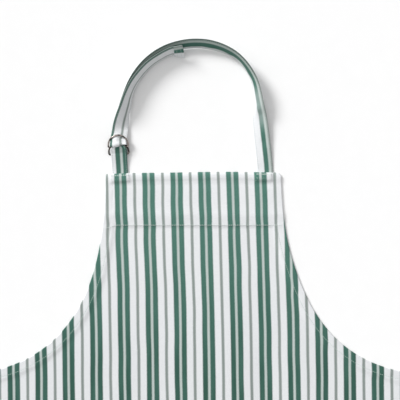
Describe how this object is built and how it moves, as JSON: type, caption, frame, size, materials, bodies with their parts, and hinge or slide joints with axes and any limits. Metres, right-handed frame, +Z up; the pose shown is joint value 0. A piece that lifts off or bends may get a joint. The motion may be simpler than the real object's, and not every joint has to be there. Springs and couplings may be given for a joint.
{
  "type": "bib apron",
  "caption": "Bib apron in green and white ticking stripe, lying face up, with an adjustable neck strap on D-rings and folded waist ties.",
  "frame": {"origin": "middle of the apron's outline, on the surface it lies on", "axes": "+Y towards the neck strap, +Z up out of the apron's face, +X to the right as seen from above"},
  "size_m": [0.9726, 1.0586, 0.0299],
  "materials": {
    "ticking_cloth": "green and white striped cotton twill",
    "strap_cloth": "striped cotton twill folded into a strap",
    "ring_metal": "dark antique bronze plating, satin",
    "sewing_thread": "pale cotton sewing thread"
  },
  "bodies": {
    "apron": {"front_panel": "ticking_cloth", "top_hem_facing": "ticking_cloth", "left_armhole_hem": "ticking_cloth", "right_armhole_hem": "ticking_cloth", "left_side_hem": "ticking_cloth", "right_side_hem": "ticking_cloth", "bottom_hem": "ticking_cloth", "neck_strap_sewn_end": "strap_cloth", "ring_tab_sewn_end": "strap_cloth", "left_tie_sewn_end": "strap_cloth", "right_tie_sewn_end": "strap_cloth", "top_hem_thread": "sewing_thread", "edge_thread": "sewing_thread", "strap_tack_thread": "sewing_thread"},
    "neck_loop": {"neck_strap": "strap_cloth", "ring_tab": "strap_cloth"},
    "upper_ring": {"upper_d_ring": "ring_metal"},
    "lower_ring": {"lower_d_ring": "ring_metal"},
    "left_tie": {"left_waist_tie": "strap_cloth"},
    "right_tie": {"right_waist_tie": "strap_cloth"}
  },
  "joints": [
    {"name": "neck_loop_fold", "type": "hinge", "parent": "apron", "child": "neck_loop", "pos_m": [0, 0.3245, 0.0015], "axis": [1, 0, 0], "range_deg": [0, 120]},
    {"name": "upper_ring_pivot", "type": "hinge", "parent": "neck_loop", "child": "upper_ring", "pos_m": [-0.12112, 0.36144, 0.0066], "axis": [0.9986, 0.0523, 0], "range_deg": [0, 160]},
    {"name": "lower_ring_rock", "type": "hinge", "parent": "neck_loop", "child": "lower_ring", "pos_m": [-0.12055, 0.35056, 0.0031], "axis": [0.9986, 0.0523, 0], "range_deg": [0, 2.5]},
    {"name": "left_tie_fold", "type": "hinge", "parent": "apron", "child": "left_tie", "pos_m": [-0.3535, 0, 0.0015], "axis": [0, 1, 0], "range_deg": [0, 120]},
    {"name": "right_tie_fold", "type": "hinge", "parent": "apron", "child": "right_tie", "pos_m": [0.3535, 0, 0.0015], "axis": [0, -1, 0], "range_deg": [0, 120]}
  ]
}
